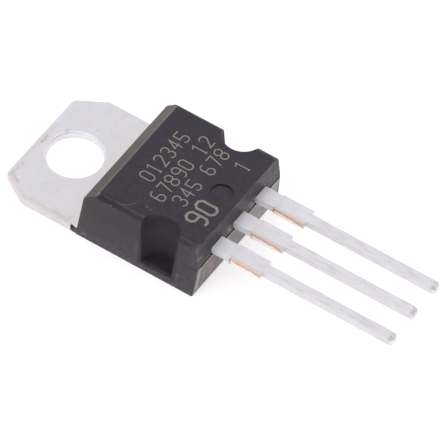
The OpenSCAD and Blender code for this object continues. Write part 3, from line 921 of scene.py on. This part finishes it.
def figures(body, height, stroke, x, y, level, depth):
    """Figures as closed solids, tops toward the tab; x is the base line, y the row's middle."""
    width, cut = height / 2, height / 7
    columns = (0, cut, width / 2, width - cut, width)
    rows = (0, cut, height / 2 - cut, height / 2, height / 2 + cut, height - cut, height)
    gap = height * 0.28
    advance = width + gap
    start = -(advance * len(body) - gap) / 2
    bm = bmesh.new()
    for place, figure in enumerate(body):
        points = {}
        for line in STROKES.get(figure, []):
            codes = line.split()
            for code in codes:
                spot_x = start + place * advance + columns[int(code[0])]
                points.setdefault(code, None)
                points[code] = points[code] or bm.verts.new((spot_x, rows[int(code[1])], 0))
            for one, other in zip(codes, codes[1:]):
                if not bm.edges.get((points[one], points[other])):
                    bm.edges.new((points[one], points[other]))
    made = bmesh.ops.extrude_edge_only(bm, edges=bm.edges[:])["geom"]
    bmesh.ops.translate(bm, vec=Vector((0, 0, depth)), verts=only(bmesh.types.BMVert, made))
    bm = modified(bm, [], [("SOLIDIFY", {"solidify_mode": "NON_MANIFOLD", "thickness": stroke, "offset": 0.0,
                                         "nonmanifold_thickness_mode": "EVEN"})])
    bmesh.ops.recalc_face_normals(bm, faces=bm.faces[:])
    place = Matrix.Translation((x, y, level)) @ Matrix.Rotation(math.radians(90), 4, "Z")
    bmesh.ops.transform(bm, matrix=place, verts=bm.verts[:])
    return bm


def marking_rows(marking):
    """Every marked row as a closed solid that starts just under the top and foams up a little above it."""
    height, large, stroke = marking.height / MM, marking.large_height / MM, marking.stroke / MM
    level, depth = CASE_HIGH.z - 0.01, 0.01 + marking.foam / MM
    return {"marking_row_1": figures(marking.row_tab, height, stroke, 7.07, 0.43, level, depth),
            "marking_row_2": figures(marking.row_middle, height, stroke, 8.56, 0.24, level, depth),
            "marking_row_3": figures(marking.row_leads, height, stroke, 9.93, 0.32, level, depth),
            "marking_large": figures(marking.large, large, 2.1 * stroke, 11.85, -2.15, level, depth),
            "marking_single": figures(marking.single, height, stroke, 11.6, 2.64, level, depth)}


# ---------------------------------------------------------------- operators

class REGULATOR_OT_tab_and_ground_lead(bpy.types.Operator):
    """Build the tab, the chip pad and the centre lead from one tinned strip"""
    bl_idname = "regulator.tab_and_ground_lead"
    bl_label = "Tab and ground lead"

    def execute(self, context):
        strip = context.scene.regulator_strip
        finish_piece("tab_and_ground_lead", tab_and_centre_lead(strip),
                     [matte_tin(strip), sheared_copper(strip)], ["tab_frame"])
        return {"FINISHED"}


class REGULATOR_OT_outer_leads(bpy.types.Operator):
    """Build the two outer leads"""
    bl_idname = "regulator.outer_leads"
    bl_label = "Outer leads"

    def execute(self, context):
        strip = context.scene.regulator_strip
        finishes = [bpy.data.materials["Matte tin plate"], bpy.data.materials["Sheared copper"]]
        finish_piece("input_lead", outer_lead(strip, -1), finishes, ["lead_input"])
        finish_piece("output_lead", outer_lead(strip, 1), finishes, ["lead_output"])
        return {"FINISHED"}


class REGULATOR_OT_inner_parts(bpy.types.Operator):
    """Give the chip, its solder and the bond wires their finishes"""
    bl_idname = "regulator.inner_parts"
    bl_label = "Chip, solder and wires"

    def execute(self, context):
        finishes = {"die_attach": inner_material("Soft solder", "#A3A3A6", 1.0, 0.45, 8.0),
                    "die": inner_material("Polished silicon", "#5C616F", 0.3, 0.12, 2.0)}
        wire = inner_material("Drawn aluminium wire", "#D6D6D8", 1.0, 0.3, 6.0)
        for name in INNER:
            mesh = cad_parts[name].data
            mesh.materials.clear()
            mesh.materials.append(finishes.get(name, wire))
        return {"FINISHED"}


class REGULATOR_OT_moulded_case(bpy.types.Operator):
    """Build the moulded epoxy case round the strip"""
    bl_idname = "regulator.moulded_case"
    bl_label = "Moulded case"

    def execute(self, context):
        case = context.scene.regulator_case
        held = [bpy.data.objects[name] for name in ("tab_and_ground_lead", "input_lead", "output_lead")]
        strips = [copy_of(obj, 1e-3) for obj in held]
        strips += [copy_of(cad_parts[name], CASE_HIGH.z) for name in INNER]
        finishes = [moulded_epoxy(case, "Moulded epoxy", case.resin, case.resin, (0.26, 0.36), 0.385),
                    # the tab side's copy: browner skin, partly a painted warm reflection
                    moulded_epoxy(case, "Moulded epoxy, gate side", case.tab_side_lit_resin, linear("#574B4B"),
                                  (0.38, 0.46), 0.20),
                    # the lower face's copy: a painted reflection of the floor, with its scored streaks
                    moulded_epoxy(case, "Moulded epoxy, drawn face", case.lower_face_lit_resin, linear("#A29A9E"),
                                  (0.36, 0.46), 0.5, streaked=True)]
        finish_piece("moulded_case", moulded_case(case, strips), finishes, ["mould_body"])
        return {"FINISHED"}


class REGULATOR_OT_laser_marking(bpy.types.Operator):
    """Draw the marked figures in burnt resin on the top"""
    bl_idname = "regulator.laser_marking"
    bl_label = "Laser marking"

    def execute(self, context):
        marking = context.scene.regulator_marking
        finish = burnt_epoxy(marking)
        for name, row in marking_rows(marking).items():
            finish_piece(name, row, [finish])
        return {"FINISHED"}


def seen_by(tree):
    """Masks of the camera's rays, and of those together with the rays that are mirrored or let through."""
    path = add(tree, "LightPath", out="all")
    camera = path["Is Camera Ray"]
    seen = add(tree, "Math", [camera, path["Is Glossy Ray"]], operation="ADD")
    return camera, add(tree, "Math", [seen, path["Is Transmission Ray"]], operation="ADD", use_clamp=True)


def floor_finish(stage):
    """Seamless white paper: it goes pure white in the render and keeps a faint soft shadow."""
    material, tree, mm = new_material("White paper")
    fibres = add(tree, "TexNoise", {"Vector": mm, "Scale": 2.0, "Detail": 3.0})
    bump = add(tree, "Bump", {"Height": fibres, "Strength": 0.05, "Distance": 0.00001})
    paper = add(tree, "BsdfDiffuse", {"Color": (*stage.floor, 1), "Normal": bump})
    camera, seen = seen_by(tree)
    warmth = add(tree, "Mix", {"Factor": camera, "A": (1.0, 0.985, 0.94, 1), "B": (1, 1, 1, 1)}, 2,
                 data_type="RGBA")
    glow = add(tree, "Emission", {"Color": warmth, "Strength": 0.42})
    both = add(tree, "AddShader", [paper, glow])
    mixed = add(tree, "MixShader", {"Fac": seen, 1: paper, 2: both})
    add(tree, "OutputMaterial", {"Surface": mixed})
    return material


def studio_light(stage):
    """A world of even light that glossy surfaces mirror as a white room with a slightly dimmer ceiling."""
    world = bpy.data.worlds.new("Studio")
    world.use_nodes = True
    tree = world.node_tree
    tree.nodes.clear()
    camera, seen = seen_by(tree)
    way = add(tree, "SeparateXYZ", [add(tree, "TexCoord", out="Generated")], 2)
    ceiling = add(tree, "MapRange", [way, 0.1, 0.7, 1.0, stage.ceiling])
    shown = add(tree, "Mix", {"Factor": camera, "A": ceiling, "B": 1.0})
    strength = add(tree, "Mix", {"Factor": seen, "A": stage.surround, "B": shown})
    sky = add(tree, "Background", {"Color": (1, 1, 1, 1), "Strength": strength})
    add(tree, "OutputWorld", {"Surface": sky})
    return world


def area_lamp(name, place, target, size, power):
    """A soft square lamp aimed at a point."""
    light = bpy.data.lights.new(name, "AREA")
    light.shape = "RECTANGLE"
    light.size, light.size_y = size
    light.energy = power
    lamp = bpy.data.objects.new(name, light)
    lamp.location = place
    lamp.rotation_euler = (Vector(target) - Vector(place)).to_track_quat("-Z", "Y").to_euler()
    bpy.context.scene.collection.objects.link(lamp)
    return lamp


def camera_object(stage):
    """The camera at its place, turned by its azimuth, elevation and roll."""
    camera = bpy.data.cameras.new("camera")
    camera.lens = stage.lens
    camera.sensor_width = 36
    camera.sensor_fit = "HORIZONTAL"
    camera.clip_start, camera.clip_end = 0.01, 10
    eye = bpy.data.objects.new("camera", camera)
    flat = math.cos(EYE_ELEVATION)
    back = Vector((flat * math.cos(EYE_AZIMUTH), flat * math.sin(EYE_AZIMUTH), math.sin(EYE_ELEVATION)))
    level = Vector((0, 0, 1)).cross(back).normalized()
    right = Matrix.Rotation(EYE_ROLL, 3, back) @ level
    turned = Matrix((right, back.cross(right), back)).transposed()
    eye.matrix_world = Matrix.Translation(Vector(EYE)) @ turned.to_4x4()
    bpy.context.scene.collection.objects.link(eye)
    return eye


class REGULATOR_OT_stage(bpy.types.Operator):
    """Set the floor, the light and the camera"""
    bl_idname = "regulator.stage"
    bl_label = "Stage"

    def execute(self, context):
        scene, stage = context.scene, context.scene.regulator_stage
        bm = bmesh.new()
        bmesh.ops.create_grid(bm, x_segments=2, y_segments=2, size=1.0)
        bmesh.ops.translate(bm, vec=Vector((0, 0, -FLOOR_GAP)), verts=bm.verts[:])
        mesh = mesh_of("floor", bm)
        mesh.materials.append(floor_finish(stage))
        floor = bpy.data.objects.new("floor", mesh)
        scene.collection.objects.link(floor)

        scene.world = studio_light(stage)
        area_lamp("key", (-0.10, -0.12, 0.45), LAMP_TARGET, (0.30, 0.30), 0.32)
        area_lamp("back_left", (-0.30, 0.22, 0.13), LAMP_TARGET, (0.12, 0.25), 0.10)
        area_lamp("back_right", (0.32, 0.22, 0.13), LAMP_TARGET, (0.12, 0.25), 0.10)
        scene.camera = camera_object(stage)
        scene.view_settings.view_transform = "Standard"
        return {"FINISHED"}


class REGULATOR_PT_panel(bpy.types.Panel):
    """Buttons that build the regulator"""
    bl_idname = "REGULATOR_PT_panel"
    bl_label = "Voltage regulator"
    bl_space_type = "VIEW_3D"
    bl_region_type = "UI"
    bl_category = "Regulator"

    def draw(self, context):
        for group in (context.scene.regulator_strip, context.scene.regulator_case,
                      context.scene.regulator_marking, context.scene.regulator_stage):
            box_layout = self.layout.box()
            for name in group.__annotations__:
                box_layout.prop(group, name)
        for operator in OPERATORS:
            self.layout.operator(operator.bl_idname)


GROUPS = {"regulator_strip": REGULATOR_PG_strip, "regulator_case": REGULATOR_PG_case,
          "regulator_marking": REGULATOR_PG_marking, "regulator_stage": REGULATOR_PG_stage}
OPERATORS = (REGULATOR_OT_tab_and_ground_lead, REGULATOR_OT_outer_leads, REGULATOR_OT_inner_parts,
             REGULATOR_OT_moulded_case, REGULATOR_OT_laser_marking, REGULATOR_OT_stage)


def register():
    for name, group in GROUPS.items():
        bpy.utils.register_class(group)
        setattr(bpy.types.Scene, name, PointerProperty(type=group))
    for operator in OPERATORS:
        bpy.utils.register_class(operator)
    bpy.utils.register_class(REGULATOR_PT_panel)


def unregister():
    bpy.utils.unregister_class(REGULATOR_PT_panel)
    for operator in reversed(OPERATORS):
        bpy.utils.unregister_class(operator)
    for name, group in GROUPS.items():
        delattr(bpy.types.Scene, name)
        bpy.utils.unregister_class(group)


def main():
    """Builds the whole regulator and its stage."""
    register()
    bpy.ops.regulator.tab_and_ground_lead()
    bpy.ops.regulator.outer_leads()
    bpy.ops.regulator.inner_parts()
    bpy.ops.regulator.moulded_case()
    bpy.ops.regulator.laser_marking()
    bpy.ops.regulator.stage()


if __name__ == "__main__":
    main()
